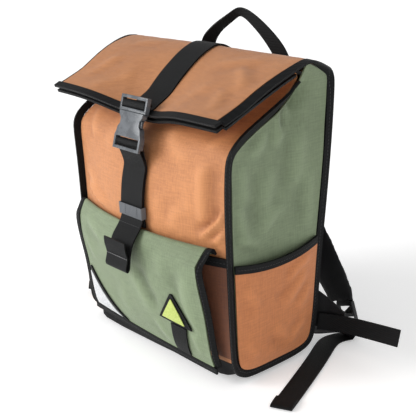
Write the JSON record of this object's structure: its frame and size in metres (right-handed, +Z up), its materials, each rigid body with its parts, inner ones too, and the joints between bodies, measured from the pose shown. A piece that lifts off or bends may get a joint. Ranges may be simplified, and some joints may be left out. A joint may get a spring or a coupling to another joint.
{
  "type": "backpack",
  "caption": "Box-shaped commuter backpack with a fold-over top held by a centre strap and side-release buckle, flap pocket, side pockets, handle and padded shoulder straps.",
  "frame": {"origin": "middle of the flat underside of the base, on the floor", "axes": "+Z up, +Y from the front pocket towards the wearer's back, +X to the right seen from the front"},
  "size_m": [0.491, 0.2511, 0.3988],
  "materials": {
    "canvas_tan": "woven nylon canvas, matt with a faint ripstop grid",
    "canvas_olive": "woven nylon, matt with a faint ripstop grid",
    "cloth_black": "coarse woven cloth over foam, matt",
    "binding_black": "ribbed grosgrain tape, matt",
    "webbing_black": "flat woven webbing, slight sheen",
    "plastic_grey": "moulded nylon, satin gloss",
    "keeper_grey": "smooth elastic tape",
    "reflective_white": "retroreflective cloth",
    "hi_vis_yellow": "fluorescent cloth patch"
  },
  "bodies": {
    "root": {"front_panel": "canvas_tan", "top_flap": "canvas_tan", "front_pocket": "canvas_tan", "right_side_pocket": "canvas_tan", "left_side_pocket": "canvas_tan", "right_gusset": "canvas_olive", "left_gusset": "canvas_olive", "pocket_flap": "canvas_olive", "back_panel": "cloth_black", "base_panel": "cloth_black", "right_shoulder_pad": "cloth_black", "left_shoulder_pad": "cloth_black", "right_waist_wedge": "cloth_black", "left_waist_wedge": "cloth_black", "right_side_pocket_binding": "binding_black", "left_side_pocket_binding": "binding_black", "right_side_binding": "binding_black", "left_side_binding": "binding_black", "right_inner_binding": "binding_black", "left_inner_binding": "binding_black", "upper_mouth_binding": "binding_black", "lower_mouth_binding": "binding_black", "front_pocket_band": "binding_black", "pocket_flap_left_binding": "binding_black", "pocket_flap_right_binding": "binding_black", "pocket_flap_bottom_binding": "binding_black", "corner_binding": "binding_black", "triangle_border": "binding_black", "patch_webbing": "webbing_black", "top_strap": "webbing_black", "lower_strap": "webbing_black", "carry_handle": "webbing_black", "right_shoulder_webbing": "webbing_black", "left_shoulder_webbing": "webbing_black", "right_waist_webbing": "webbing_black", "left_waist_webbing": "webbing_black", "buckle_plug": "plastic_grey", "buckle_socket": "plastic_grey", "right_ladder_lock": "plastic_grey", "left_ladder_lock": "plastic_grey", "strap_keeper": "keeper_grey", "reflective_corner": "reflective_white", "hi_vis_triangle": "hi_vis_yellow"}
  },
  "joints": []
}
